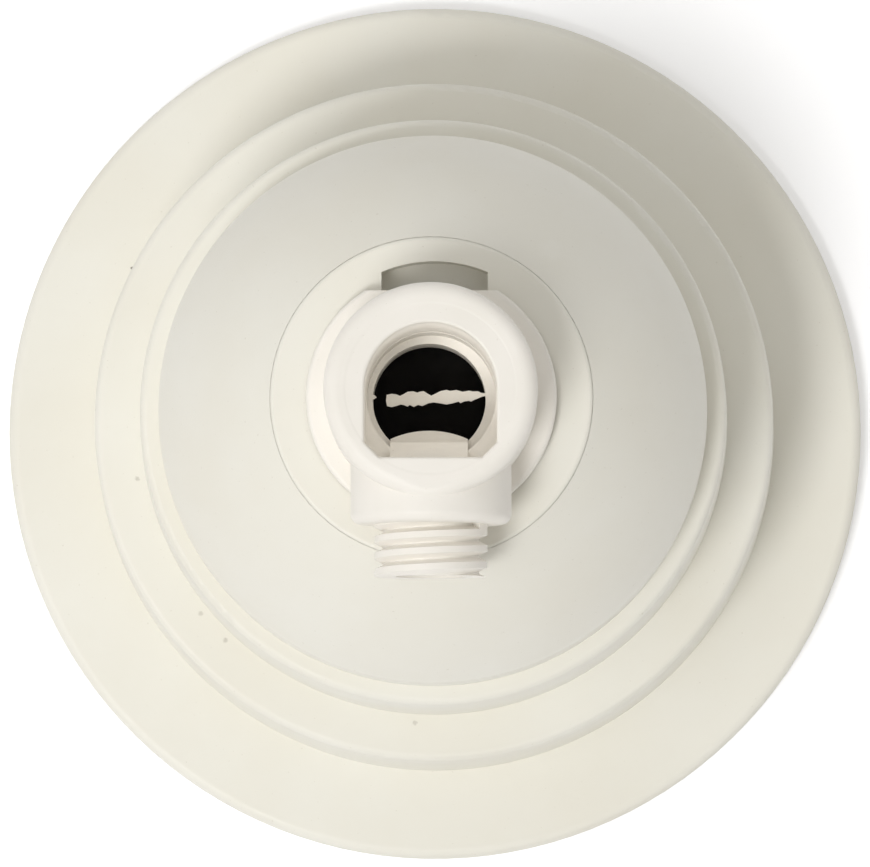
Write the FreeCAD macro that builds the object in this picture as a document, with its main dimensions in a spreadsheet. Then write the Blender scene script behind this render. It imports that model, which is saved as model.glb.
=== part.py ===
import FreeCAD, Part
import Sketcher
import math
import os
import re

# Weatherproof lamp holder for a reflector lamp: a stepped bell, an elbow that swivels
# on a hub plate at its crown, and a screw-shell socket inside.
# The bell stands on its rim at z = 0, its axis is Z, and the threaded stub points along -Y.

Vector = FreeCAD.Vector
doc = FreeCAD.newDocument("lamp_holder")
sheet = doc.addObject("Spreadsheet::Sheet", "Sizes")

sizes = {
    # bell
    "rimRadius": 65.0,
    "rimHeight": 5.0,
    "rimRound": 1.5,
    "bellWall": 2.4,
    "wallSlope": 0.035,
    "tierARadius": 50.7,
    "tierARise": 26.5,
    "tierBRadius": 43.0,
    "tierBRise": 23.5,
    "tierCRadius": 40.0,
    "tierCRise": 7.0,
    "tierRound": 1.1,
    "domeRise": 25.5,
    "domeBend": 54.0,
    "ledgeThick": 2.4,
    "ledgeBore": 17.0,
    # hub plate
    "hubRadius": 23.1,
    "hubGap": 0.03,
    "hubProud": 0.4,
    "hubThick": 5.5,
    "hubRound": 0.6,
    "hubGasketThick": 0.8,
    "hubGasketInner": 18.0,
    "slotReach": 19.55,
    "slotShift": 0.45,
    "slotHalf": 7.6,
    "slotInner": 12.6,
    "slotDepth": 4.3,
    "grooveInner": 15.4,
    "grooveOuter": 17.4,
    "grooveDepth": 2.0,
    "stopWall": 1.5,
    "hubScrewCircle": 20.2,
    "hubScrewRadius": 1.25,
    "hubScrewHead": 2.4,
    "hubScrewHeadThick": 1.8,
    "hubScrewBite": 3.6,
    "screwClearance": 0.35,
    "pilotFit": 0.05,
    # elbow
    "swivelGap": 0.3,
    "swivelFit": 0.08,
    "flangeRadius": 17.9,
    "flangeThick": 2.7,
    "flangeFlat": 15.15,
    "flangeRound": 0.7,
    "ringRadius": 15.1,
    "ringRise": 21.0,
    "ringRound": 2.0,
    "openingHalf": 9.3,
    "openingLow": 9.65,
    "openingCorner": 2.1,
    "openingRound": 0.45,
    "pocketFloor": 1.5,
    "pocketRadius": 9.25,
    "shoulderDrop": 5.2,
    "apertureRadius": 8.1,
    "apertureShift": 0.35,
    "spigotRadius": 11.4,
    "spigotDrop": 13.0,
    "armRadius": 11.4,
    "armHeight": 9.2,
    "armReach": 18.6,
    "armRound": 1.5,
    "stubRadius": 8.0,
    "stubLength": 7.4,
    "threadPitch": 2.3,
    "threadDepth": 1.2,
    "threadCrest": 0.9,
    "threadRoot": 0.25,
    "threadRunIn": 0.95,
    "entryRadius": 5.0,
    "sillHalf": 5.55,
    "sillLift": 1.3,
    "sillThick": 2.5,
    "sillEdge": 5.7,
    "sillBend": 13.5,
    "rampLift": 5.7,
    "rampEdge": 6.5,
    "stepEdge": 7.7,
    "flashThick": 0.4,
    "lugRadius": 0.8,
    "sealInner": 12.5,
    "sealSection": 1.9,
    "sealGap": 0.1,
    # swivel stack under the hub plate
    "slipInner": 11.7,
    "slipOuter": 16.2,
    "slipThick": 1.0,
    "springInner": 11.8,
    "springOuter": 15.4,
    "springThick": 0.6,
    "springDish": 0.6,
    "nutFlats": 27.0,
    "nutThick": 4.5,
    "nutFit": 0.05,
    "stackGap": 0.05,
    # lamp gasket
    "gasketGap": 0.4,
    "gasketLift": 0.6,
    "gasketLipGap": 0.93,
    "gasketLip": 8.5,
    "gasketLipRise": 5.6,
    "gasketLipThick": 1.6,
    # socket
    "socketMouth": 38.0,
    "socketRadius": 19.5,
    "socketHeight": 28.0,
    "socketFloor": 6.0,
    "socketRound": 1.2,
    "shellRadius": 13.35,
    "shellWall": 0.5,
    "shellGap": 0.1,
    "shellInset": 0.8,
    "shellHole": 4.4,
    "shellThread": 16.0,
    "shellShoulder": 1.2,
    "shellCrown": 11.2,
    "earReach": 33.0,
    "earHalf": 6.0,
    "earThick": 4.0,
    "earDrop": 6.0,
    "earScrewReach": 28.5,
    "postRadius": 4.2,
    "earScrewRadius": 1.6,
    "earScrewHead": 3.0,
    "earScrewHeadThick": 2.3,
    "earScrewBite": 9.0,
    # contact
    "plungerHead": 3.3,
    "plungerHeadThick": 2.0,
    "plungerGap": 2.5,
    "plungerStem": 1.5,
    "plungerFit": 0.1,
    "plungerCollar": 2.3,
    "plungerCollarThick": 1.0,
    "springPocket": 3.6,
    "springPocketDeep": 4.2,
    "coilRadius": 2.7,
    "coilWire": 0.6,
    "coilTurns": 3.5,
    # terminals
    "strapThick": 1.0,
    "strapHalf": 3.0,
    "terminalNear": 10.6,
    "terminalFar": 15.6,
    "terminalHalf": 3.2,
    "terminalHeight": 5.0,
    "wireHoleRadius": 1.2,
    "wireHoleReach": 12.6,
    "terminalScrewRadius": 1.2,
    "terminalScrewHead": 2.0,
    "terminalScrewHeadThick": 1.4,
    "terminalScrewBite": 2.0,
    "rivetCircle": 8.3,
    "rivetRadius": 1.2,
    "rivetHead": 2.0,
    "rivetHeadThick": 0.8,
    "strapScrewReach": 7.6,
    "strapScrewRadius": 1.0,
    "strapScrewHead": 1.8,
    "strapScrewHeadThick": 1.0,
    "strapScrewBite": 3.2,
    # terminal cover
    "coverRise": 7.2,
    "coverWall": 1.0,
    "coverInset": 1.2,
    "coverHoleRadius": 1.8,
    "driverHoleRadius": 2.4,
}

for row, (alias, size) in enumerate(sizes.items(), start=1):
    sheet.set(f"A{row}", alias)
    sheet.set(f"B{row}", str(size))
    sheet.setAlias(f"B{row}", alias)
doc.recompute()

# heights above the rim
a_top = "(rimHeight + tierARise)"
b_top = f"({a_top} + tierBRise)"
c_top = f"({b_top} + tierCRise)"
hub_face = f"({c_top} + domeRise)"
hub_under = f"({hub_face} - hubThick)"
seat = f"({hub_under} - hubGasketThick)"
ledge_under = f"({seat} - ledgeThick)"
flange_under = f"({hub_face} + swivelGap)"
flange_top = f"({flange_under} + flangeThick)"
ring_face = f"({hub_face} + ringRise)"
arm_axis = f"({hub_face} + armHeight)"
arm_floor = f"({arm_axis} - entryRadius)"
shoulder = f"({hub_face} - shoulderDrop)"
spigot_end = f"({hub_face} - spigotDrop)"
slip_under = f"({hub_under} - slipThick)"
nut_top = f"({slip_under} - springThick - springDish - 2 * stackGap)"
socket_top = "(socketMouth + socketHeight)"
socket_floor = f"({socket_top} - socketFloor)"
ear_top = f"({socket_top} - earDrop)"
ear_under = f"({ear_top} - earThick)"
shell_top = f"({socket_floor} - shellGap)"
strap_top = f"({socket_top} + strapThick)"
collar_under = f"({strap_top} + stackGap)"
head_top = f"({socket_floor} - plungerGap)"
terminal_axis = f"({socket_top} + terminalHeight / 2)"

# radii and reaches that follow from others
seat_radius = "(hubRadius + hubGap)"
bore_radius = "(spigotRadius + swivelFit)"
groove_middle = "((grooveInner + grooveOuter) / 2)"
pilot = "(hubScrewRadius + pilotFit)"
ear_pilot = "(earScrewRadius + pilotFit)"
stub_tip = "(armReach + stubLength)"
foot_a = "(tierARadius + wallSlope * tierARise)"
shell_outer = "(shellRadius + shellWall)"


def sized(formula):
    """A formula in size names, as an expression that reads the sheet."""
    return re.sub(
        r"[A-Za-z]\w*", lambda word: f"Sizes.{word[0]}" if word[0] in sizes else word[0], formula
    )


def number(formula):
    return float(sheet.evalExpression(sized(formula)))


def new_body(label):
    body = doc.addObject("PartDesign::Body", label)
    body.Label = label
    return body


def new_sketch(body, role, offset=("0", "0", "0")):
    """Sketch on one of the body's own origin planes, moved by an offset in the plane's axes."""
    sketch = body.newObject("Sketcher::SketchObject", "Sketch")
    plane = next(item for item in body.Origin.OriginFeatures if item.Role == role)
    sketch.AttachmentSupport = [(plane, "")]
    sketch.MapMode = "FlatFace"
    for axis, formula in zip("xyz", offset):
        sketch.setExpression(f"AttachmentOffset.Base.{axis}", sized(formula))
    return sketch


def bind(sketch, kind, geometry, point, formula):
    """Constrain a point's distance from the sketch origin, or a radius, to a formula."""
    value = number(formula)
    if kind == "Radius":
        constraint = Sketcher.Constraint(kind, geometry, value)
    else:
        constraint = Sketcher.Constraint(kind, -1, 1, geometry, point, value)
    index = sketch.addConstraint(constraint)
    sketch.setExpression(f"Constraints[{index}]", sized(formula))


def arc_between(start, end, bend):
    """Arc of radius |bend| from start to end, turning left when bend is positive."""
    chord = end - start
    half = chord.Length / 2
    side = Vector(-chord.y, chord.x, 0).normalize() * (1 if bend > 0 else -1)
    centre = (start + end) / 2 + side * max(bend * bend - half * half, 0) ** 0.5
    first, last = (start, end) if bend > 0 else (end, start)
    east = Vector(1, 0, 0)
    up = Vector(0, 0, 1)
    angles = [(tip - centre).getAngle(east) * (1 if (tip - centre).y >= 0 else -1) for tip in (first, last)]
    return Part.ArcOfCircle(Part.Circle(centre, up, abs(bend)), *angles)


def outline(sketch, corners):
    """Closed outline. A corner is (x, y), or (x, y, bend) when an arc leads to the next one."""
    points = [Vector(number(corner[0]), number(corner[1]), 0) for corner in corners]
    first = sketch.GeometryCount
    ends = []
    for index, corner in enumerate(corners):
        start = points[index]
        end = points[(index + 1) % len(points)]
        if len(corner) == 2:
            sketch.addGeometry(Part.LineSegment(start, end))
            ends.append((1, 2))
        else:
            bend = number(corner[2])
            sketch.addGeometry(arc_between(start, end, bend))
            ends.append((1, 2) if bend > 0 else (2, 1))
    for index, corner in enumerate(corners):
        after = (index + 1) % len(corners)
        join = Sketcher.Constraint(
            "Coincident", first + index, ends[index][1], first + after, ends[after][0]
        )
        sketch.addConstraint(join)
        bind(sketch, "DistanceX", first + index, ends[index][0], corner[0])
        bind(sketch, "DistanceY", first + index, ends[index][0], corner[1])
        if len(corner) == 3:
            bind(sketch, "Radius", first + index, 0, f"abs({corner[2]})")


def circle(sketch, radius, x="0", y="0"):
    centre = Vector(number(x), number(y), 0)
    index = sketch.addGeometry(Part.Circle(centre, Vector(0, 0, 1), number(radius)))
    bind(sketch, "DistanceX", index, 3, x)
    bind(sketch, "DistanceY", index, 3, y)
    bind(sketch, "Radius", index, 0, radius)


def volume(body):
    return body.Tip.Shape.Volume if body.Tip else 0.0


def feature(body, kind, sketch, formulas, adds, **settings):
    """PartDesign feature whose sizes are formulas; it has to add or remove material as asked."""
    before = volume(body)
    made = body.newObject(f"PartDesign::{kind}", kind)
    made.Profile = sketch
    for name, value in settings.items():
        setattr(made, name, value)
    for name, formula in formulas.items():
        made.setExpression(name, sized(formula))
    doc.recompute()
    change = volume(body) - before
    if change * (1 if adds else -1) <= 0:
        raise ValueError(f"{body.Label}: {kind} changed the volume by {change:.3f}")
    return made


def pad(body, sketch, length, reverse=False):
    return feature(body, "Pad", sketch, {"Length": length}, True, Reversed=reverse)


def pocket(body, sketch, length, reverse=False):
    return feature(body, "Pocket", sketch, {"Length": length}, False, Reversed=reverse)


def turned(body, corners):
    """Body of revolution about Z: corners are (radius, height)."""
    sketch = new_sketch(body, "XZ_Plane")
    outline(sketch, corners)
    return feature(body, "Revolution", sketch, {}, True, ReferenceAxis=(sketch, ["V_Axis"]), Angle=360)


def column(body, radius, low, high, x="0", y="0"):
    """Round column between two heights."""
    sketch = new_sketch(body, "XY_Plane", ("0", "0", low))
    circle(sketch, radius, x, y)
    return pad(body, sketch, f"{high} - {low}")


def bore(body, radius, low, high, x="0", y="0"):
    """Round hole between two heights."""
    sketch = new_sketch(body, "XY_Plane", ("0", "0", low))
    circle(sketch, radius, x, y)
    return pocket(body, sketch, f"{high} - {low}", reverse=True)


def block(body, corners, low, high):
    sketch = new_sketch(body, "XY_Plane", ("0", "0", low))
    outline(sketch, corners)
    return pad(body, sketch, f"{high} - {low}")


def opening(body, corners, low, high):
    sketch = new_sketch(body, "XY_Plane", ("0", "0", low))
    outline(sketch, corners)
    return pocket(body, sketch, f"{high} - {low}", reverse=True)


def rectangle(left, right, near, far):
    return [(left, near), (right, near), (right, far), (left, far)]


def around(body, made, count):
    """Repeat a feature evenly about Z."""
    pattern = body.newObject("PartDesign::PolarPattern", "Around")
    pattern.Originals = [made]
    axis = next(item for item in body.Origin.OriginFeatures if item.Role == "Z_Axis")
    pattern.Axis = (axis, [""])
    pattern.Angle = 360
    pattern.Occurrences = count
    body.Tip = pattern
    doc.recompute()
    return pattern


def ring_edges(body, radius, height):
    """Names of the round edges about Z that have this radius and height."""
    names = []
    for index, edge in enumerate(body.Tip.Shape.Edges, start=1):
        round_edge = isinstance(edge.Curve, Part.Circle)
        if round_edge and abs(edge.Curve.Radius - number(radius)) < 1e-4:
            middle = edge.Curve.Center
            if abs(middle.z - number(height)) < 1e-4 and middle.x ** 2 + middle.y ** 2 < 1e-8:
                names.append(f"Edge{index}")
    return names


def soften(body, edges, radius):
    """Fillet the named edges of the body's last shape."""
    if not edges:
        raise ValueError(f"{body.Label}: no edge to round")
    base = body.Tip
    made = body.newObject("PartDesign::Fillet", "Fillet")
    made.Base = (base, edges)
    made.setExpression("Radius", sized(radius))
    doc.recompute()
    return made


def fastener(group, label, centres, low, high, radius, head_low, head_high, head_radius):
    """Screws or rivets along Z that share one node: a shank and a head at each centre."""
    solids = []
    for x, y in centres:
        for part_radius, bottom, top in ((radius, low, high), (head_radius, head_low, head_high)):
            piece = doc.addObject("Part::Cylinder", f"{label}_piece")
            piece.setExpression("Radius", sized(part_radius))
            piece.setExpression("Height", sized(f"{top} - {bottom}"))
            piece.setExpression("Placement.Base.x", sized(x))
            piece.setExpression("Placement.Base.y", sized(y))
            piece.setExpression("Placement.Base.z", sized(bottom))
            solids.append(piece)
    made = doc.addObject("Part::MultiFuse", label)
    made.Shapes = solids
    made.Refine = True
    made.Label = label
    group.append(made)
    return made


def build_bell(nodes):
    """Stepped one-piece bell: rim flange, tiers A, B and C, dome, and the seat of the hub plate."""
    body = new_body("bell")
    foot_b = "(tierBRadius + wallSlope * tierBRise)"
    foot_c = "(tierCRadius + wallSlope * tierCRise)"
    # centre of the dome's arc, which its inner face shares
    rise = "(domeRise - hubProud)"
    half = f"(sqrt((tierCRadius - {seat_radius})^2 + {rise}^2) / 2)"
    back = f"sqrt(domeBend^2 - {half}^2)"
    centre_r = f"((tierCRadius + {seat_radius}) / 2 - {back} * {rise} / (2 * {half}))"
    centre_z = f"({c_top} + {rise} / 2 - {back} * (tierCRadius - {seat_radius}) / (2 * {half}))"
    inner_bend = "(domeBend - bellWall)"
    crown_r = f"({centre_r} + sqrt({inner_bend}^2 - ({ledge_under} - {centre_z})^2))"
    cheek_r = "(tierCRadius - bellWall)"
    cheek_z = f"({centre_z} + sqrt({inner_bend}^2 - ({cheek_r} - {centre_r})^2))"
    turned(body, [
        ("rimRadius", "0"),
        ("rimRadius", "rimHeight"),
        (foot_a, "rimHeight"),
        ("tierARadius", a_top),
        (foot_b, a_top),
        ("tierBRadius", b_top),
        (foot_c, b_top),
        ("tierCRadius", c_top, "domeBend"),
        (seat_radius, f"({hub_face} - hubProud)"),
        (seat_radius, seat),
        ("ledgeBore", seat),
        ("ledgeBore", ledge_under),
        (crown_r, ledge_under, f"0 - {inner_bend}"),
        (cheek_r, cheek_z),
        (f"{foot_c} - bellWall", f"{b_top} - bellWall"),
        ("tierBRadius - bellWall", f"{b_top} - bellWall"),
        (f"{foot_b} - bellWall", f"{a_top} - bellWall"),
        ("tierARadius - bellWall", f"{a_top} - bellWall"),
        (f"{foot_a} - bellWall", "rimHeight - bellWall"),
        ("rimRadius - bellWall", "rimHeight - bellWall"),
        ("rimRadius - bellWall", "0"),
    ])
    soften(body, ring_edges(body, "rimRadius", "rimHeight"), "rimRound")
    for radius, height in (("tierARadius", a_top), ("tierBRadius", b_top), ("tierCRadius", c_top)):
        soften(body, ring_edges(body, radius, height), "tierRound")
    hole = bore(body, "hubScrewRadius + screwClearance", ledge_under, seat, y="0 - hubScrewCircle")
    around(body, hole, 3)
    # two posts under the dome carry the socket's ears
    for side in ("", "0 - "):
        post = new_sketch(body, "XY_Plane", ("0", "0", ear_top))
        circle(post, "postRadius", f"{side}earScrewReach")
        feature(body, "Pad", post, {}, True, Type="UpToFirst")
        bore(body, ear_pilot, ear_top, f"({ear_top} + earScrewBite)", f"{side}earScrewReach")
    nodes.append(body)


def build_hub_plate(nodes):
    """Disc in the bell's crown, with the swivel bore, the lug's groove and the open slot."""
    body = new_body("hub_plate")
    column(body, "hubRadius", hub_under, hub_face)
    soften(body, ring_edges(body, "hubRadius", hub_face), "hubRound")
    groove = new_sketch(body, "XY_Plane", ("0", "0", hub_face))
    circle(groove, "grooveOuter")
    circle(groove, "grooveInner")
    pocket(body, groove, "grooveDepth")
    stop = "(slotHalf + slotShift + stopWall)"
    block(body, rectangle(f"0 - {stop}", stop, "slotInner", "grooveOuter"),
          f"({hub_face} - grooveDepth)", hub_face)
    bore(body, bore_radius, hub_under, hub_face)
    slot_corner = "sqrt(slotReach^2 - slotHalf^2)"
    slot = [
        ("slotShift - slotHalf", "slotInner"),
        ("slotShift + slotHalf", "slotInner"),
        ("slotShift + slotHalf", slot_corner, "slotReach"),
        ("slotShift - slotHalf", slot_corner),
    ]
    opening(body, slot, f"({hub_face} - slotDepth)", hub_face)
    seal = new_sketch(body, "XY_Plane", ("0", "0", hub_face))
    circle(seal, "sealInner + sealSection + sealGap")
    circle(seal, "sealInner - sealGap")
    pocket(body, seal, "sealSection - swivelGap + sealGap")
    hole = bore(body, pilot, hub_under, f"({hub_under} + hubScrewBite + pilotFit)", y="0 - hubScrewCircle")
    around(body, hole, 3)
    nodes.append(body)


def build_hub_gasket(nodes):
    body = new_body("hub_gasket")
    column(body, "hubRadius", seat, hub_under)
    bore(body, "hubGasketInner", seat, hub_under)
    hole = bore(body, "hubScrewRadius + screwClearance", seat, hub_under, y="0 - hubScrewCircle")
    around(body, hole, 3)
    nodes.append(body)


def build_swivel_seal(nodes):
    """O-ring between the hub plate and the elbow's flange."""
    body = new_body("swivel_seal")
    sketch = new_sketch(body, "XZ_Plane")
    circle(sketch, "sealSection / 2", "sealInner + sealSection / 2",
           f"{flange_under} - sealSection / 2 - stackGap")
    feature(body, "Revolution", sketch, {}, True, ReferenceAxis=(sketch, ["V_Axis"]), Angle=360)
    nodes.append(body)


def build_elbow(nodes):
    """Moulded elbow: flange, ring, arm with its threaded stub, and the spigot through the hub."""
    body = new_body("elbow")
    column(body, "spigotRadius", spigot_end, flange_under)
    flat_half = "sqrt(flangeRadius^2 - flangeFlat^2)"
    block(body, [
        (f"0 - {flat_half}", "flangeFlat", "flangeRadius"),
        ("0", "0 - flangeRadius", "flangeRadius"),
        (flat_half, "flangeFlat"),
    ], flange_under, flange_top)
    soften(body, ring_edges(body, "flangeRadius", flange_top), "flangeRound")
    column(body, "ringRadius", flange_top, ring_face)
    arm = new_sketch(body, "XZ_Plane")
    low_half = f"sqrt(armRadius^2 - ({arm_axis} - {flange_under})^2)"
    outline(arm, [
        (f"0 - {low_half}", flange_under),
        (low_half, flange_under, "armRadius"),
        ("0", f"{arm_axis} + armRadius", "armRadius"),
    ])
    pad(body, arm, "armReach")
    soften(body, arm_end_edges(body), "armRound")
    soften(body, ring_edges(body, "ringRadius", ring_face), "ringRound")
    stub = new_sketch(body, "XZ_Plane", ("0", arm_axis, "armReach"))
    circle(stub, "stubRadius")
    pad(body, stub, "stubLength")
    cut_thread(body)
    cut_pocket(body)
    entry = new_sketch(body, "XZ_Plane", ("0", arm_axis, "stepEdge"))
    circle(entry, "entryRadius")
    pocket(body, entry, f"{stub_tip} - stepEdge", reverse=True)
    add_flash(body)
    # lug that runs in the hub plate's groove and stops the swivel at its ends
    column(body, "lugRadius", f"({hub_face} - grooveDepth + swivelGap)", flange_under,
           y=f"0 - {groove_middle}")
    nodes.append(body)


def arm_end_edges(body):
    """Edges round the arm's flat end."""
    names = []
    for index, edge in enumerate(body.Tip.Shape.Edges, start=1):
        ends = [vertex.Point.y for vertex in edge.Vertexes]
        if all(abs(end + number("armReach")) < 1e-4 for end in ends) and len(ends) == 2:
            if isinstance(edge.Curve, Part.Circle):
                names.append(f"Edge{index}")
    return names


def cut_thread(body):
    """Coarse right-hand thread: a helical groove that leaves the crest on the stub's own cylinder."""
    rake = "((threadPitch - threadCrest - threadRoot) / 2 / threadDepth)"
    above = "0.2"
    mouth = f"((threadPitch - threadCrest) / 2 + {rake} * {above})"
    start = f"(0 - {stub_tip} - threadPitch)"
    groove = new_sketch(body, "YZ_Plane", ("0", arm_axis, "0"))
    outline(groove, [
        (f"{start} - {mouth}", f"stubRadius + {above}"),
        (f"{start} - threadRoot / 2", "stubRadius - threadDepth"),
        (f"{start} + threadRoot / 2", "stubRadius - threadDepth"),
        (f"{start} + {mouth}", f"stubRadius + {above}"),
    ])
    lengths = {"Pitch": "threadPitch", "Height": "stubLength + threadPitch * threadRunIn"}
    feature(body, "SubtractiveHelix", groove, lengths, False, ReferenceAxis=(groove, ["H_Axis"]), Mode=0)


def opening_edges(body):
    """Edges of the D-shaped opening in the ring's face."""
    names = []
    for index, edge in enumerate(body.Tip.Shape.Edges, start=1):
        points = edge.discretize(5)
        level = all(abs(point.z - number(ring_face)) < 1e-4 for point in points)
        inside = all(math.hypot(point.x, point.y) < number("ringRadius - ringRound") for point in points)
        # the rounded rim's own edge lies on that radius
        if level and inside and not any(
                abs(math.hypot(point.x, point.y) - number("ringRadius - ringRound")) < 1e-3 for point in points):
            names.append(f"Edge{index}")
    return names


def cut_pocket(body):
    """D-shaped opening, the round pocket under it with its shoulder, and the stepped cable ramp."""
    straight = "(openingHalf - openingCorner)"
    floor = f"({flange_under} + pocketFloor)"
    opening(body, [
        ("0 - openingHalf", "openingCorner - openingLow"),
        (f"0 - {straight}", "0 - openingLow"),
        (straight, "0 - openingLow"),
        ("openingHalf", "openingCorner - openingLow"),
        ("openingHalf", "0", "openingHalf"),
        ("0", "openingHalf", "openingHalf"),
        ("0 - openingHalf", "0"),
    ], floor, ring_face)
    soften(body, opening_edges(body), "openingRound")
    bore(body, "pocketRadius", shoulder, floor)
    bore(body, "apertureRadius", spigot_end, shoulder, x="0 - apertureShift")
    wall = "(pocketRadius + 0.2)"
    left, right = "(0 - apertureShift - sillHalf)", "(sillHalf - apertureShift)"
    lip = f"({shoulder} + sillLift)"
    ramp = f"({lip} + rampLift)"
    block(body, [
        (left, f"0 - {wall}"),
        (right, f"0 - {wall}"),
        (right, "0 - sillEdge", "sillBend"),
        (left, "0 - sillEdge"),
    ], f"({lip} - sillThick)", lip)
    block(body, rectangle(left, right, f"0 - {wall}", "0 - rampEdge"), lip, ramp)
    block(body, rectangle(left, right, "0 - openingLow - 0.2", "0 - stepEdge"), ramp, arm_floor)


def add_flash(body):
    """Torn moulding flash that still hangs on the aperture's edge, and the nub it left opposite."""
    torn = [(-0.2, 0.6), (-0.2, 0.96), (0.6, 1.0), (1.1, 1.25), (1.8, 1.22), (2.4, 1.33), (3.3, 1.18),
            (4.2, 1.43), (5.1, 1.3), (5.6, 1.45), (6.5, 1.27), (7.1, 0.95), (7.8, 0.62), (8.4, 0.95),
            (8.9, 1.27), (9.4, 1.2), (9.8, 1.06), (10.4, 1.24), (11.2, 1.18), (11.8, 0.82), (12.3, 0.58),
            (12.8, 0.8), (13.5, 0.88), (14.2, 0.74), (14.3, -0.1), (14.15, -0.86), (13.5, -1.02),
            (12.8, -0.84), (12.2, -0.64), (11.7, -0.72), (11.2, -0.94), (10.9, -0.7), (10.3, -0.98),
            (9.7, -0.7), (9.1, -0.86), (8.2, -0.46), (7.5, -0.34), (6.6, -0.46), (5.6, -0.64), (4.7, -0.46),
            (3.9, -0.22), (3.6, -0.45), (3.1, -0.2), (2.4, -0.1), (2.1, -0.22), (1.6, 0.05), (1.1, 0.24),
            (0.5, 0.5)]
    low = f"({shoulder} - flashThick)"
    reach = "(apertureRadius - apertureShift)"
    block(body, [(f"{reach} - {out}", f"{y}") for out, y in torn], low, shoulder)
    nub = "(0 - apertureRadius - apertureShift)"
    stump = [(-0.2, 0.85), (0.2, 0.75), (0.55, 0.4), (0.25, 0.15), (-0.2, 0.05)]
    block(body, [(f"{nub} + {out}", f"{y}") for out, y in stump], low, shoulder)


def build_swivel_stack(nodes):
    """Slip washer, dished spring washer and hexagon nut that hold the spigot in the hub."""
    slip = new_body("slip_washer")
    turned(slip, [("slipInner", slip_under), ("slipOuter", slip_under),
                  ("slipOuter", hub_under), ("slipInner", hub_under)])
    spring = new_body("spring_washer")
    top = f"({slip_under} - stackGap)"
    turned(spring, [
        ("springInner", f"{top} - springDish - springThick"),
        ("springOuter", f"{top} - springThick"),
        ("springOuter", top),
        ("springInner", f"{top} - springDish"),
    ])
    nut = new_body("swivel_nut")
    sketch = new_sketch(nut, "XY_Plane", ("0", "0", f"{nut_top} - nutThick"))
    corner = "(nutFlats / 2 / cos(30deg))"
    outline(sketch, [(f"{corner} * cos({turn}deg)", f"{corner} * sin({turn}deg)") for turn in range(0, 360, 60)])
    circle(sketch, "spigotRadius + nutFit")
    pad(nut, sketch, "nutThick")
    nodes += [slip, spring, nut]


def build_lamp_gasket(nodes):
    """Rubber ring under the rim flange, with a lip that rises to meet the lamp."""
    body = new_body("lamp_gasket")
    outer = "(rimRadius - bellWall - gasketGap)"
    land = f"({foot_a} - bellWall - gasketLipGap)"
    top = "(rimHeight - bellWall)"
    turned(body, [
        (outer, "gasketLift"),
        (outer, top),
        (land, top),
        (f"{land} - gasketLip + gasketLipThick", f"{top} + gasketLipRise"),
        (f"{land} - gasketLip", f"{top} + gasketLipRise - gasketLipThick / 2"),
        (f"{land} - gasketLipThick", "gasketLift"),
    ])
    nodes.append(body)


def build_socket(nodes):
    """Black moulded socket body with two ears, and the plated screw shell inside it."""
    body = new_body("socket_body")
    column(body, "socketRadius", "socketMouth", socket_top)
    for height in ("socketMouth", socket_top):
        soften(body, ring_edges(body, "socketRadius", height), "socketRound")
    ears = rectangle("0 - earReach", "earReach", "0 - earHalf", "earHalf")
    block(body, ears, ear_under, ear_top)
    bore(body, f"{shell_outer} + shellGap", "socketMouth", socket_floor)
    bore(body, "springPocket", socket_floor, f"({socket_floor} + springPocketDeep)")
    bore(body, "plungerStem + plungerFit", socket_floor, socket_top)
    hole = bore(body, "rivetRadius + pilotFit", socket_floor, socket_top, y="rivetCircle")
    around(body, hole, 3)
    for side in ("", "0 - "):
        bore(body, "earScrewRadius + screwClearance", ear_under, ear_top, f"{side}earScrewReach")
    bore(body, "strapScrewRadius + pilotFit", f"({socket_top} - strapScrewBite - pilotFit)", socket_top,
         y="0 - strapScrewReach")
    shell = new_body("screw_shell")
    low = "(socketMouth + shellInset)"
    thread_end = f"({low} + shellThread)"
    turned(shell, [
        ("shellRadius", low),
        (shell_outer, low),
        (shell_outer, thread_end),
        ("shellCrown + shellWall", f"{thread_end} + shellShoulder"),
        ("shellCrown + shellWall", shell_top),
        ("shellHole", shell_top),
        ("shellHole", f"{shell_top} - shellWall"),
        ("shellCrown", f"{shell_top} - shellWall"),
        ("shellCrown", f"{thread_end} + shellShoulder"),
        ("shellRadius", thread_end),
    ])
    hole = bore(shell, "rivetRadius + pilotFit", f"({shell_top} - shellWall)", shell_top, y="rivetCircle")
    around(shell, hole, 3)
    nodes += [body, shell]


def build_contact(nodes):
    """Sprung centre contact: a plunger whose stem passes through the floor, and its coil spring."""
    plunger = new_body("centre_contact")
    head = column(plunger, "plungerHead", f"({head_top} - plungerHeadThick)", head_top)
    soften(plunger, ring_edges(plunger, "plungerHead", f"{head_top} - plungerHeadThick"), "plungerHeadThick / 2")
    column(plunger, "plungerStem", head_top, collar_under)
    column(plunger, "plungerCollar", collar_under, f"({collar_under} + plungerCollarThick)")
    spring = new_body("contact_spring")
    wire = new_sketch(spring, "XZ_Plane")
    low = f"({head_top} + coilWire / 2 + stackGap)"
    high = f"({socket_floor} + springPocketDeep - coilWire / 2 - stackGap)"
    circle(wire, "coilWire / 2", "coilRadius", low)
    lengths = {"Height": f"{high} - {low}", "Pitch": f"({high} - {low}) / coilTurns"}
    feature(spring, "AdditiveHelix", wire, lengths, True, ReferenceAxis=(wire, ["V_Axis"]), Mode=0)
    nodes += [plunger, spring]


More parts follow.
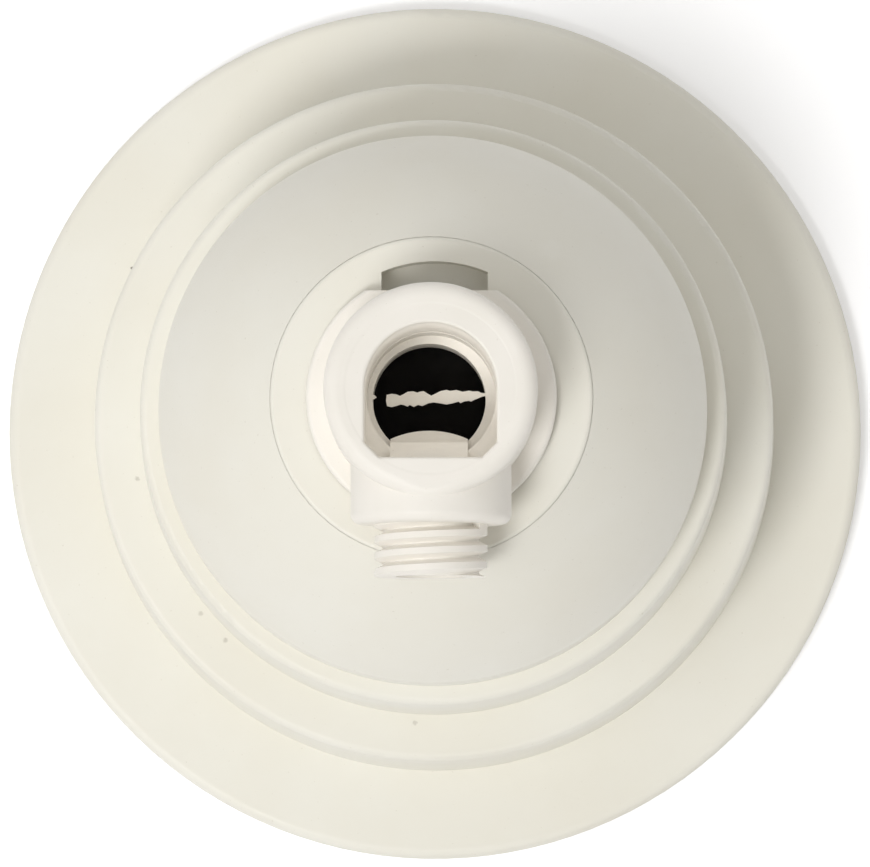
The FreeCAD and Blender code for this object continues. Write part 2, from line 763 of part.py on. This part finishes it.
def build_terminal(nodes, label, side, strap_end, strap_holes):
    """Brass strap on the socket's top with a wire block at its outer end; side is "" for +Y."""
    body = new_body(label)
    far = f"{side}terminalFar"
    block(body, rectangle("0 - strapHalf", "strapHalf", strap_end, far), socket_top, strap_top)
    near = f"{side}terminalNear"
    block(body, rectangle("0 - terminalHalf", "terminalHalf", near, far), socket_top,
          f"({socket_top} + terminalHeight)")
    bore(body, "wireHoleRadius", socket_top, f"({socket_top} + terminalHeight)", y=f"{side}wireHoleReach")
    outward = new_sketch(body, "XZ_Plane", ("0", terminal_axis, f"0 - ({far})"))
    circle(outward, "terminalScrewRadius + pilotFit")
    pocket(body, outward, "terminalScrewBite + pilotFit", reverse=not side)
    for radius, y in strap_holes:
        bore(body, radius, socket_top, strap_top, y=y)
    nodes.append(body)


def build_terminal_screws(nodes):
    """Cheese-head screws that clamp the wires, along Y from outside each block."""
    pieces = []
    for side, turn in ((1, -90), (-1, 90)):
        for radius, start, end in (
            ("terminalScrewRadius", "terminalFar - terminalScrewBite", "terminalFar"),
            ("terminalScrewHead", "terminalFar", "terminalFar + terminalScrewHeadThick"),
        ):
            piece = doc.addObject("Part::Cylinder", "terminal_screw_piece")
            piece.Placement = FreeCAD.Placement(Vector(), FreeCAD.Rotation(Vector(1, 0, 0), turn))
            piece.setExpression("Radius", sized(radius))
            piece.setExpression("Height", sized(f"({end}) - ({start})"))
            piece.setExpression("Placement.Base.y", sized(f"{side} * ({start})"))
            piece.setExpression("Placement.Base.z", sized(terminal_axis))
            pieces.append(piece)
    made = doc.addObject("Part::MultiFuse", "terminal_screws")
    made.Shapes = pieces
    made.Refine = True
    nodes.append(made)


def build_terminal_cover(nodes):
    """Black cap over the terminals, with wire holes above them and a hole to reach each screw."""
    body = new_body("terminal_cover")
    outer = "(socketRadius - coverInset)"
    top = f"({socket_top} + coverRise)"
    column(body, outer, socket_top, top)
    soften(body, ring_edges(body, outer, top), "coverWall / 2")
    bore(body, f"{outer} - coverWall", socket_top, f"({top} - coverWall)")
    for side in ("", "0 - "):
        bore(body, "coverHoleRadius", f"({top} - coverWall)", top, y=f"{side}wireHoleReach")
    driver = new_sketch(body, "XZ_Plane", ("0", terminal_axis, f"0 - {outer} - coverWall"))
    circle(driver, "driverHoleRadius")
    pocket(body, driver, f"2 * {outer} + 2 * coverWall", reverse=True)
    nodes.append(body)


def build_fasteners(nodes):
    """Screws and rivets along Z."""
    def on_circle(radius, degrees):
        return [(f"{radius} * cos({turn}deg)", f"{radius} * sin({turn}deg)") for turn in degrees]

    fastener(nodes, "hub_screws", on_circle("hubScrewCircle", (30, 150, 270)),
             ledge_under, f"({hub_under} + hubScrewBite)", "hubScrewRadius",
             f"({ledge_under} - hubScrewHeadThick)", ledge_under, "hubScrewHead")
    fastener(nodes, "socket_screws", [("earScrewReach", "0"), ("0 - earScrewReach", "0")],
             ear_under, f"({ear_top} + earScrewBite - pilotFit)", "earScrewRadius",
             f"({ear_under} - earScrewHeadThick)", ear_under, "earScrewHead")
    fastener(nodes, "strap_screw", [("0", "0 - strapScrewReach")],
             f"({socket_top} - strapScrewBite)", strap_top, "strapScrewRadius",
             strap_top, f"({strap_top} + strapScrewHeadThick)", "strapScrewHead")


def build_rivets(nodes):
    """Three rivets hold the shell; the one at +Y also carries the neutral strap."""
    closed = []
    shell_seat = f"({shell_top} - shellWall)"
    for turn, under in ((90, strap_top), (210, socket_top), (330, socket_top)):
        centre = (f"rivetCircle * cos({turn}deg)", f"rivetCircle * sin({turn}deg)")
        fastener(closed, f"rivet_{turn}", [centre], shell_seat, under, "rivetRadius",
                 f"({shell_seat} - rivetHeadThick)", shell_seat, "rivetHead")
        fastener(closed, f"rivet_tail_{turn}", [centre], under, f"({under} + rivetHeadThick / 2)",
                 "rivetRadius", under, f"({under} + rivetHeadThick)", "rivetHead")
    made = doc.addObject("Part::MultiFuse", "shell_rivets")
    made.Shapes = closed
    made.Refine = True
    nodes.append(made)


def check(nodes):
    """Stop on any failed object and on any shape that is missing or faulty."""
    doc.recompute()
    for item in doc.Objects:
        if {"Invalid", "Error"} & set(item.State):
            raise ValueError(f"{item.Label} failed: {item.State}")
    for node in nodes:
        if node.Shape.isNull() or not node.Shape.isValid() or not node.Shape.Solids:
            raise ValueError(f"{node.Label} has no sound shape")


nodes = []
build_bell(nodes)
build_hub_plate(nodes)
build_hub_gasket(nodes)
build_swivel_seal(nodes)
build_elbow(nodes)
build_swivel_stack(nodes)
build_lamp_gasket(nodes)
build_socket(nodes)
build_contact(nodes)
build_terminal(nodes, "neutral_terminal", "", "rivetCircle - strapHalf",
               [("rivetRadius + pilotFit", "rivetCircle")])
build_terminal(nodes, "active_terminal", "0 - ", "plungerCollar + strapThick / 2",
               [("plungerStem + plungerFit", "0"), ("strapScrewRadius + pilotFit", "0 - strapScrewReach")])
build_terminal_screws(nodes)
build_terminal_cover(nodes)
build_fasteners(nodes)
build_rivets(nodes)
check(nodes)

os.makedirs("parts", exist_ok=True)
for node in nodes:
    node.Shape.exportStep(f"parts/{node.Label}.step")
    print(f"{node.Label}: {len(node.Shape.Solids)} solid(s), {node.Shape.Volume / 1000:.2f} cm3")
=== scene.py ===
import math
import bpy
import numpy as np
from mathutils import Matrix, Vector


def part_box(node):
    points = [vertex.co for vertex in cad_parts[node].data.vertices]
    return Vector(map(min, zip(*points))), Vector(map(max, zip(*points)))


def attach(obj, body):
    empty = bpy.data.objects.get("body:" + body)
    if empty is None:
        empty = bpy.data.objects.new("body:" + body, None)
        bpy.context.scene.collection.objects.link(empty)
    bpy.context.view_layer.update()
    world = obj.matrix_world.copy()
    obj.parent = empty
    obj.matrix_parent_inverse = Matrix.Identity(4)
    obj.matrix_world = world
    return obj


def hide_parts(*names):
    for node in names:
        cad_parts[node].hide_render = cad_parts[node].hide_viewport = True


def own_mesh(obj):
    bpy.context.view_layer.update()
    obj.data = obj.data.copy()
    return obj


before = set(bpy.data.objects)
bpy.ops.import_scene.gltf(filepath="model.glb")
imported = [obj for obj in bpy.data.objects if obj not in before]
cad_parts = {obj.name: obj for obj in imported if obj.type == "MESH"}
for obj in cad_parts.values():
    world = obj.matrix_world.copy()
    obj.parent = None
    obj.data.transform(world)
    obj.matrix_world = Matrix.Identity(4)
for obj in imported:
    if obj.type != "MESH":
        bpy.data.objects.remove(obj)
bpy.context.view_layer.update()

mm = 0.001
print("frame loaded:", len(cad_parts), "nodes")


camera = {"distance": 1.300, "focal": 352.3, "sensor": 36.0, "farthest": 20.0, "tilt": 3.4, "lean": 0.35,
          "aimHeight": 3.5 * mm, "aimY": -0.14 * mm}

def makeCamera():
    # looks down the bell's axis, tipped and leaned by a few degrees, with the part's +Y up in the picture
    data = bpy.data.cameras.new("camera")
    data.lens = camera["focal"]
    data.sensor_width = camera["sensor"]
    data.clip_end = camera["farthest"]
    view = bpy.data.objects.new("camera", data)
    bpy.context.collection.objects.link(view)
    tilt, lean = math.radians(camera["tilt"]), math.radians(camera["lean"])
    aim = Vector((0, camera["aimY"], camera["aimHeight"]))
    away = Vector((math.sin(lean), -math.sin(tilt), math.cos(tilt) * math.cos(lean))).normalized()
    right = Vector((0, 1, 0)).cross(away).normalized()
    up = away.cross(right)
    view.location = aim + away * camera["distance"]
    turn = np.array([right, up, away]).T
    view.rotation_euler = Matrix(turn.tolist()).to_euler()
    bpy.context.scene.camera = view


def hexColour(text):
    # sRGB hex to linear: below 0.04045 a straight line, above it a power of 2.4
    srgb = np.array([int(text[i:i + 2], 16) for i in (0, 2, 4)]) / 255
    linear = np.where(srgb <= 0.04045, srgb / 12.92, ((srgb + 0.055) / 1.055) ** 2.4)
    return (*linear.tolist(), 1.0)


def addNode(tree, kind, inputs=None, **settings):
    # an input given as a socket is linked, and any other value is set on the node's own socket
    node = tree.nodes.new(kind)
    for name, value in settings.items():
        setattr(node, name, value)
    for socket, value in (inputs or {}).items():
        if isinstance(value, bpy.types.NodeSocket):
            tree.links.new(value, node.inputs[socket])
        else:
            node.inputs[socket].default_value = value
    return node


# plain soft light: two lamps from the lower left, a weak one from the upper left and an even pale room
light = {
    "key": {"azimuth": 235.0, "elevation": 60.0, "softness": 18.0, "power": 1.29},
    "side": {"azimuth": 205.0, "elevation": 60.0, "softness": 30.0, "power": 0.30},
    "back": {"azimuth": 105.0, "elevation": 50.0, "softness": 40.0, "power": 0.23},
    "sky": 0.455, "lampColour": "FFFFFF", "skyColour": "FFFDF8",
    "floorColour": "F7F7F9", "floorLift": 0.23, "floorSize": 3.0, "floorDrop": 0.05 * mm,
    "fillRadius": 8.0 * mm, "fillDepth": 1.2 * mm, "fillPower": 0.0006,
}

def makeLight():
    for name in ("key", "side", "back"):
        data = bpy.data.lights.new(name + "Lamp", "SUN")
        data.energy = light[name]["power"]
        data.angle = math.radians(light[name]["softness"])
        data.color = hexColour(light["lampColour"])[:3]
        lamp = bpy.data.objects.new(name + "Lamp", data)
        bpy.context.collection.objects.link(lamp)
        azimuth, elevation = math.radians(light[name]["azimuth"]), math.radians(light[name]["elevation"])
        toLamp = Vector((math.cos(azimuth) * math.cos(elevation), math.sin(azimuth) * math.cos(elevation),
                         math.sin(elevation)))
        lamp.rotation_euler = toLamp.to_track_quat("Z", "Y").to_euler()
    # the room lights softly, and shows as plain white to the camera and in reflections
    world = bpy.data.worlds.new("paleRoom")
    world.use_nodes = True
    tree = world.node_tree
    tree.nodes.clear()
    path = addNode(tree, "ShaderNodeLightPath")
    seen = addNode(tree, "ShaderNodeMath", {0: path.outputs["Is Camera Ray"], 1: path.outputs["Is Glossy Ray"]},
                   operation="ADD")
    seen = addNode(tree, "ShaderNodeMath", {0: seen.outputs[0], 1: path.outputs["Is Transmission Ray"]},
                   operation="ADD", use_clamp=True)
    sky = addNode(tree, "ShaderNodeBackground", {"Color": hexColour(light["skyColour"]),
                                                 "Strength": light["sky"]})
    white = addNode(tree, "ShaderNodeBackground", {"Color": (1, 1, 1, 1), "Strength": 1.0})
    mix = addNode(tree, "ShaderNodeMixShader", {0: seen.outputs[0], 1: sky.outputs[0], 2: white.outputs[0]})
    addNode(tree, "ShaderNodeOutputWorld", {"Surface": mix.outputs[0]})
    bpy.context.scene.world = world


def makePocketFill():
    # white nylon lets light through its walls; a small soft lamp in the elbow's opening stands for that light
    data = bpy.data.lights.new("pocketFill", "AREA")
    data.shape = "DISK"
    data.size = 2 * light["fillRadius"]
    data.energy = light["fillPower"]
    lamp = bpy.data.objects.new("pocketFill", data)
    lamp.location = (0, 0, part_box("elbow")[1][2] - light["fillDepth"])
    lamp.visible_camera = lamp.visible_glossy = lamp.visible_transmission = False
    bpy.context.collection.objects.link(lamp)


def makeFloor():
    # a hair below the rim, so that the two faces don't share a plane
    half, level = light["floorSize"] / 2, -light["floorDrop"]
    corners = [(-half, -half, level), (half, -half, level), (half, half, level), (-half, half, level)]
    mesh = bpy.data.meshes.new("floor")
    mesh.from_pydata(corners, [], [(0, 1, 2, 3)])
    floor = bpy.data.objects.new("floor", mesh)
    bpy.context.collection.objects.link(floor)
    paper = bpy.data.materials.new("matt white paper")
    paper.use_nodes = True
    tree = paper.node_tree
    tree.nodes.clear()
    # matt white under the lamps, with a little of its own white for camera rays so it meets the white room
    path = addNode(tree, "ShaderNodeLightPath")
    matt = addNode(tree, "ShaderNodeBsdfDiffuse", {"Color": hexColour(light["floorColour"])})
    lift = addNode(tree, "ShaderNodeMath", {0: path.outputs["Is Camera Ray"], 1: light["floorLift"]},
                   operation="MULTIPLY")
    glow = addNode(tree, "ShaderNodeEmission", {"Color": (1, 1, 1, 1), "Strength": lift.outputs[0]})
    both = addNode(tree, "ShaderNodeAddShader", {0: matt.outputs[0], 1: glow.outputs[0]})
    addNode(tree, "ShaderNodeOutputMaterial", {"Surface": both.outputs[0]})
    mesh.materials.append(paper)


makeCamera()
makeLight()
makePocketFill()
makeFloor()
bpy.context.scene.view_settings.view_transform = "Standard"
print("camera, lamp and floor ready")


def newMaterial(name):
    material = bpy.data.materials.new(name)
    material.use_nodes = True
    tree = material.node_tree
    tree.nodes.clear()
    place = addNode(tree, "ShaderNodeTexCoord").outputs["Object"]
    return material, tree, place


# shares and depths that all the plastics and metals have in common; most of a noise's values lie from noiseLow to
# noiseHigh, so that part is the one that is stretched
pattern = {"noiseLow": 0.3, "noiseHigh": 0.7, "dustFrom": 0.74, "dustFull": 0.80, "dustWeight": 0.5,
           "plasticIor": 1.50, "skinStrength": 0.10, "skinDepthMm": 0.02, "markStrength": 0.15,
           "markDepthMm": 0.01, "markSqueeze": 8.0, "tarnishWeight": 0.6, "stainNearest": 0.9,
           "stainFarthest": 1.4, "raggedness": 0.7}

def finishMaterial(tree, inputs, bump, strength, depthMm):
    # the fine bump lies on top of any relief that the material already has
    relief = {"Height": bump, "Strength": strength, "Distance": depthMm * mm}
    if "Normal" in inputs:
        relief["Normal"] = inputs["Normal"]
    inputs["Normal"] = addNode(tree, "ShaderNodeBump", relief).outputs[0]
    shader = addNode(tree, "ShaderNodeBsdfPrincipled", inputs)
    addNode(tree, "ShaderNodeOutputMaterial", {"Surface": shader.outputs[0]})


def cloudyPattern(tree, place, spec, detail, ends, sizeShare=1.0, roughness=0.5):
    # soft clouds: noise of the finish's own cloud size, or a share of it, stretched to run between two ends
    noise = addNode(tree, "ShaderNodeTexNoise", {"Vector": place, "Scale": 1 / mm / (spec["cloudMm"] * sizeShare),
                                                 "Detail": detail, "Roughness": roughness})
    clouds = addNode(tree, "ShaderNodeMapRange", {"Value": noise.outputs["Fac"],
                                                  "From Min": pattern["noiseLow"],
                                                  "From Max": pattern["noiseHigh"],
                                                  "To Min": ends[0], "To Max": ends[1]})
    return clouds.outputs["Result"]


def addMark(tree, place, colour, mark):
    # a small stain: distance from its middle in plan, made ragged by noise, fades from full to nothing
    size = mark["size"] * mm
    flat = addNode(tree, "ShaderNodeMapping", {"Vector": place, "Scale": (1, 1, 0)})
    middle = (mark["at"][0] * mm, mark["at"][1] * mm, 0)
    away = addNode(tree, "ShaderNodeVectorMath", {0: flat.outputs[0], 1: middle}, operation="DISTANCE")
    noise = addNode(tree, "ShaderNodeTexNoise", {"Vector": place, "Detail": 2.0, "Roughness": 0.5,
                                                 "Scale": 1 / mm / (mark["size"] * pattern["raggedness"])})
    ragged = addNode(tree, "ShaderNodeMath", {0: noise.outputs["Fac"], 1: size, 2: away.outputs["Value"]},
                     operation="MULTIPLY_ADD")
    faded = addNode(tree, "ShaderNodeMapRange", {"Value": ragged.outputs[0],
                                                 "From Min": size * pattern["stainNearest"],
                                                 "From Max": size * pattern["stainFarthest"],
                                                 "To Min": 1.0, "To Max": 0.0})
    weight = addNode(tree, "ShaderNodeMath", {0: faded.outputs["Result"], 1: mark["weight"]},
                     operation="MULTIPLY")
    return addNode(tree, "ShaderNodeMix", {"Factor": weight.outputs[0], 6: colour, 7: hexColour(mark["colour"])},
                   data_type="RGBA").outputs[2]


def faceStep(tree, place, step):
    # the ring's face is a hair lower inside one circle: nothing within it, then a short rise at that radius
    flat = addNode(tree, "ShaderNodeMapping", {"Vector": place, "Scale": (1, 1, 0)})
    radius = addNode(tree, "ShaderNodeVectorMath", {0: flat.outputs[0]}, operation="LENGTH")
    inside = addNode(tree, "ShaderNodeMapRange", {"Value": radius.outputs["Value"],
                                                  "From Min": step["radius"] * mm,
                                                  "From Max": (step["radius"] + step["width"]) * mm,
                                                  "To Min": 1.0, "To Max": 0.0})
    rise = addNode(tree, "ShaderNodeMath", {0: 1.0, 1: inside.outputs["Result"]}, operation="SUBTRACT")
    return addNode(tree, "ShaderNodeBump", {"Height": rise.outputs[0], "Strength": 1.0,
                                            "Distance": step["rise"] * mm}).outputs[0]


# injection-moulded weatherproof ABS: even cream, satin gloss, faint flow clouds and a fine eggshell skin; a real
# skin is too fine to show, so it is drawn as coarse as 0.35 mm; marks are the stains and the scuff it has
mouldedAbs = {"colour": "EDEBE2", "cloud": "EAE7DC", "dust": "D6D1C4", "cloudMm": 22, "dustMm": 0.5,
              "skinMm": 0.35, "roughLow": 0.42, "roughHigh": 0.52, "specular": 0.35,
              "marks": [{"at": (-46.3, 25.1), "size": 0.30, "weight": 0.8, "colour": "5A5448"},
                        {"at": (-44.3, -8.6), "size": 0.5, "weight": 0.35, "colour": "8A8272"},
                        {"at": (-34.8, -28.7), "size": 0.5, "weight": 0.3, "colour": "8A8272"},
                        {"at": (-31.1, -32.7), "size": 0.5, "weight": 0.35, "colour": "8A8272"},
                        {"at": (-2.8, -45.0), "size": 0.5, "weight": 0.3, "colour": "8A8272"},
                        {"at": (17.0, 21.5), "size": 2.2, "weight": 0.10, "colour": "FAF9F4"}]}
# injection-moulded nylon: whiter than the bell and slightly waxy, with a hair's step round the ring's face
mouldedNylon = {"colour": "F6F2EB", "cloud": "F2EEE6", "dust": "E2DCD2", "cloudMm": 9, "dustMm": 0.4,
                "skinMm": 0.30, "roughLow": 0.42, "roughHigh": 0.52, "specular": 0.30,
                "step": {"radius": 11.95, "width": 0.3, "rise": 0.04}}
# compression-moulded phenolic: near black with a little brown in it, and a dull pressed skin
phenolic = {"colour": "060504", "cloud": "0A0806", "dust": "17130F", "cloudMm": 6, "dustMm": 0.4,
            "skinMm": 0.25, "roughLow": 0.50, "roughHigh": 0.65, "specular": 0.10}
# moulded EPDM rubber: dull dark grey with a pale bloom in clouds
rubber = {"colour": "1F1F20", "cloud": "2C2C2D", "dust": "5A5856", "cloudMm": 5, "dustMm": 0.5,
          "skinMm": 0.25, "roughLow": 0.62, "roughHigh": 0.80, "specular": 0.30}

def makeMouldedPlastic(name, spec):
    material, tree, place = newMaterial(name)
    clouds = cloudyPattern(tree, place, spec, 4.0, (0.0, 1.0))
    clouded = addNode(tree, "ShaderNodeMix", {"Factor": clouds, 6: hexColour(spec["colour"]),
                                              7: hexColour(spec["cloud"])}, data_type="RGBA")
    dust = addNode(tree, "ShaderNodeTexNoise", {"Vector": place, "Scale": 1 / mm / spec["dustMm"],
                                                "Detail": 1.0, "Roughness": 0.5})
    specks = addNode(tree, "ShaderNodeMapRange", {"Value": dust.outputs["Fac"], "From Min": pattern["dustFrom"],
                                                  "From Max": pattern["dustFull"], "To Min": 0.0,
                                                  "To Max": pattern["dustWeight"]})
    dusty = addNode(tree, "ShaderNodeMix", {"Factor": specks.outputs["Result"], 6: clouded.outputs[2],
                                            7: hexColour(spec["dust"])}, data_type="RGBA")
    colour = dusty.outputs[2]
    for mark in spec.get("marks", ()):
        colour = addMark(tree, place, colour, mark)
    rough = cloudyPattern(tree, place, spec, 3.0, (spec["roughLow"], spec["roughHigh"]), sizeShare=0.2)
    skin = addNode(tree, "ShaderNodeTexNoise", {"Vector": place, "Scale": 1 / mm / spec["skinMm"],
                                                "Detail": 2.0, "Roughness": 0.5})
    body = {"Base Color": colour, "Roughness": rough, "IOR": pattern["plasticIor"],
            "Specular IOR Level": spec["specular"]}
    if "step" in spec:
        body["Normal"] = faceStep(tree, place, spec["step"])
    finishMaterial(tree, body, skin.outputs["Fac"], pattern["skinStrength"], pattern["skinDepthMm"])
    return material


# zinc-plated steel, stamped: cool grey, with a cloudy plate that dulls it in patches
platedSteel = {"colour": "C9CACB", "tarnish": "9E9FA0", "cloudMm": 2.5, "markMm": 0.48, "roughLow": 0.22,
               "roughHigh": 0.42}
# brass, rolled and turned: warm yellow, tarnished brown in patches
rolledBrass = {"colour": "D9B36A", "tarnish": "A9803F", "cloudMm": 4.0, "markMm": 0.60, "roughLow": 0.20,
               "roughHigh": 0.40}
# spring steel, drawn into wire: bright grey with darker spots
springSteel = {"colour": "B9BABC", "tarnish": "7F8082", "cloudMm": 1.5, "markMm": 0.40, "roughLow": 0.25,
               "roughHigh": 0.45}

def makeMetal(name, spec):
    # fine marks run round the part, as drawing and turning leave them, because the pattern is squeezed along Z
    material, tree, place = newMaterial(name)
    stains = cloudyPattern(tree, place, spec, 5.0, (0.0, pattern["tarnishWeight"]), roughness=0.6)
    colour = addNode(tree, "ShaderNodeMix", {"Factor": stains, 6: hexColour(spec["colour"]),
                                             7: hexColour(spec["tarnish"])}, data_type="RGBA")
    rough = cloudyPattern(tree, place, spec, 4.0, (spec["roughLow"], spec["roughHigh"]), sizeShare=0.5)
    squeezed = addNode(tree, "ShaderNodeMapping", {"Vector": place, "Scale": (1.0, 1.0, pattern["markSqueeze"])})
    marks = addNode(tree, "ShaderNodeTexNoise", {"Vector": squeezed.outputs[0], "Detail": 2.0, "Roughness": 0.5,
                                                 "Scale": 1 / mm / spec["markMm"]})
    finishMaterial(tree, {"Base Color": colour.outputs[2], "Metallic": 1.0, "Roughness": rough},
                   marks.outputs["Fac"], pattern["markStrength"], pattern["markDepthMm"])
    return material


def makeGrid(name, points, closedEnds=False):
    # each cell of the grid is a face; the last column joins the first, and each end may have a flat face
    rows, columns = points.shape[:2]
    index = np.arange(rows * columns).reshape(rows, columns)
    after = np.roll(index, -1, axis=1)
    faces = np.stack([index[:-1], after[:-1], after[1:], index[1:]], -1).reshape(-1, 4).tolist()
    if closedEnds:
        faces += [index[0, ::-1].tolist(), index[-1].tolist()]
    mesh = bpy.data.meshes.new(name)
    mesh.from_pydata(points.reshape(-1, 3).tolist(), [], faces)
    mesh.polygons.foreach_set("use_smooth", np.ones(len(faces), dtype=bool))
    piece = bpy.data.objects.new(name, mesh)
    bpy.context.collection.objects.link(piece)
    return piece


# screw shell: rolled round thread of 3.63 mm pitch for a 27 mm cap, a shoulder, a narrower crown and a flat end
rolledShell = {"pitch": 3.63, "depth": 1.0, "runOut": 0.35, "wall": 0.45, "middle": 13.58, "threadLength": 16.0,
               "shoulder": 1.2, "crown": 11.45, "corner": 0.6, "hole": 4.65, "rows": 120, "columns": 144}

def makeRolledShell(spec):
    # radius and height run along a profile: straight, half a cosine in, straight, a quarter circle and a flat
    # end; the straight part loses depth times a raised cosine of height over pitch less the turn, faded at each
    # end
    low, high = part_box("screw_shell")
    bottom, end = low[2] / mm, high[2] / mm - spec["wall"] / 2
    threadTop = bottom + spec["threadLength"]
    along = np.linspace(0, 1, spec["rows"])
    few, bend = np.linspace(0, 1, 10), np.linspace(0, math.pi / 2, 7)
    middle, crown, corner = spec["middle"], spec["crown"], spec["corner"]
    drop = middle - crown
    radius = np.concatenate([np.full(spec["rows"], middle),
                             middle - drop * (1 - np.cos(few[1:] * math.pi)) / 2,
                             crown - corner * (1 - np.cos(bend)),
                             np.linspace(crown - corner, spec["hole"], 6)[1:]])
    height = np.concatenate([bottom + along * spec["threadLength"], threadTop + few[1:] * spec["shoulder"],
                             end - corner + corner * np.sin(bend), np.full(5, end)])
    turn = np.linspace(0, 2 * math.pi, spec["columns"], endpoint=False)
    fade = np.clip(np.minimum(height - bottom, threadTop - height) / (spec["runOut"] * spec["pitch"]), 0, 1)
    fade = fade * fade * (3 - 2 * fade)
    phase = 2 * math.pi * height[:, None] / spec["pitch"] - turn[None, :]
    rolled = radius[:, None] - spec["depth"] * fade[:, None] * (1 - np.cos(phase)) / 2
    heights = np.repeat(height[:, None], turn.size, 1)
    points = np.stack([rolled * np.cos(turn), rolled * np.sin(turn), heights], -1)
    return makeGrid("rolled_shell", points * mm)


# contact spring: drawn steel wire in an open coil with its end turns wound close
coilSpring = {"coilRadius": 2.7, "wire": 0.6, "turns": 3.5, "closing": 0.45, "stroke": 2.0, "rows": 240,
              "columns": 14}

def makeCoilSpring(spec):
    # a circle of wire carried along a helix; height is the share of the turns less a small full sine of it, so
    # the end turns lie closer
    low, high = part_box("contact_spring")
    half = spec["wire"] / 2
    bottom, top = low[2] / mm + half, high[2] / mm - half
    along = np.linspace(0, 1, spec["rows"])
    turn = 2 * math.pi * spec["turns"] * along
    rise = along - spec["closing"] / spec["turns"] * np.sin(2 * math.pi * along)
    middle = np.stack([spec["coilRadius"] * np.cos(turn), spec["coilRadius"] * np.sin(turn),
                       bottom + (top - bottom) * rise], -1)
    forward = np.gradient(middle, axis=0)
    forward /= np.linalg.norm(forward, axis=1, keepdims=True)
    outward = np.stack([np.cos(turn), np.sin(turn), np.zeros_like(turn)], -1)
    upward = np.cross(forward, outward)
    around = np.linspace(0, 2 * math.pi, spec["columns"], endpoint=False)[None, :, None]
    points = middle[:, None] + half * (np.cos(around) * outward[:, None] + np.sin(around) * upward[:, None])
    return makeGrid("coil_spring", points * mm, closedEnds=True)


shell = makeRolledShell(rolledShell)
wall = shell.modifiers.new("sheet", "SOLIDIFY")
wall.thickness, wall.offset = rolledShell["wall"] * mm, 0.0
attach(shell, "bell")
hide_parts("screw_shell")
print("rolled shell:", len(shell.data.polygons), "faces")

spring = makeCoilSpring(coilSpring)
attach(spring, "bell")
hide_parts("contact_spring")
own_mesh(spring)
print("contact spring:", len(spring.data.polygons), "faces")


finishes = {
    "bell": makeMouldedPlastic("ABS, injection moulded", mouldedAbs),
    "hub_plate": makeMouldedPlastic("ABS plate, injection moulded", mouldedAbs),
    "elbow": makeMouldedPlastic("nylon, injection moulded", mouldedNylon),
    "socket_body": makeMouldedPlastic("phenolic, pressed", phenolic),
    "lamp_gasket": makeMouldedPlastic("EPDM rubber, moulded", rubber),
    "slip_washer": makeMetal("zinc-plated steel, stamped", platedSteel),
    "swivel_nut": makeMetal("brass, turned", rolledBrass),
    "contact_spring": makeMetal("spring steel, drawn", springSteel),
}
finishes["terminal_cover"] = finishes["socket_body"]
finishes |= {node: finishes["lamp_gasket"] for node in ("hub_gasket", "swivel_seal")}
finishes |= {node: finishes["slip_washer"] for node in (
    "spring_washer", "hub_screws", "socket_screws", "strap_screw", "terminal_screws")}
finishes |= {node: finishes["swivel_nut"] for node in (
    "screw_shell", "centre_contact", "neutral_terminal", "active_terminal", "shell_rivets")}

for node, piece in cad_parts.items():
    for slot in piece.material_slots:
        slot.material = finishes[node]
shell.data.materials.append(finishes["screw_shell"])
spring.data.materials.append(finishes["contact_spring"])
print("materials on", len(finishes), "nodes")
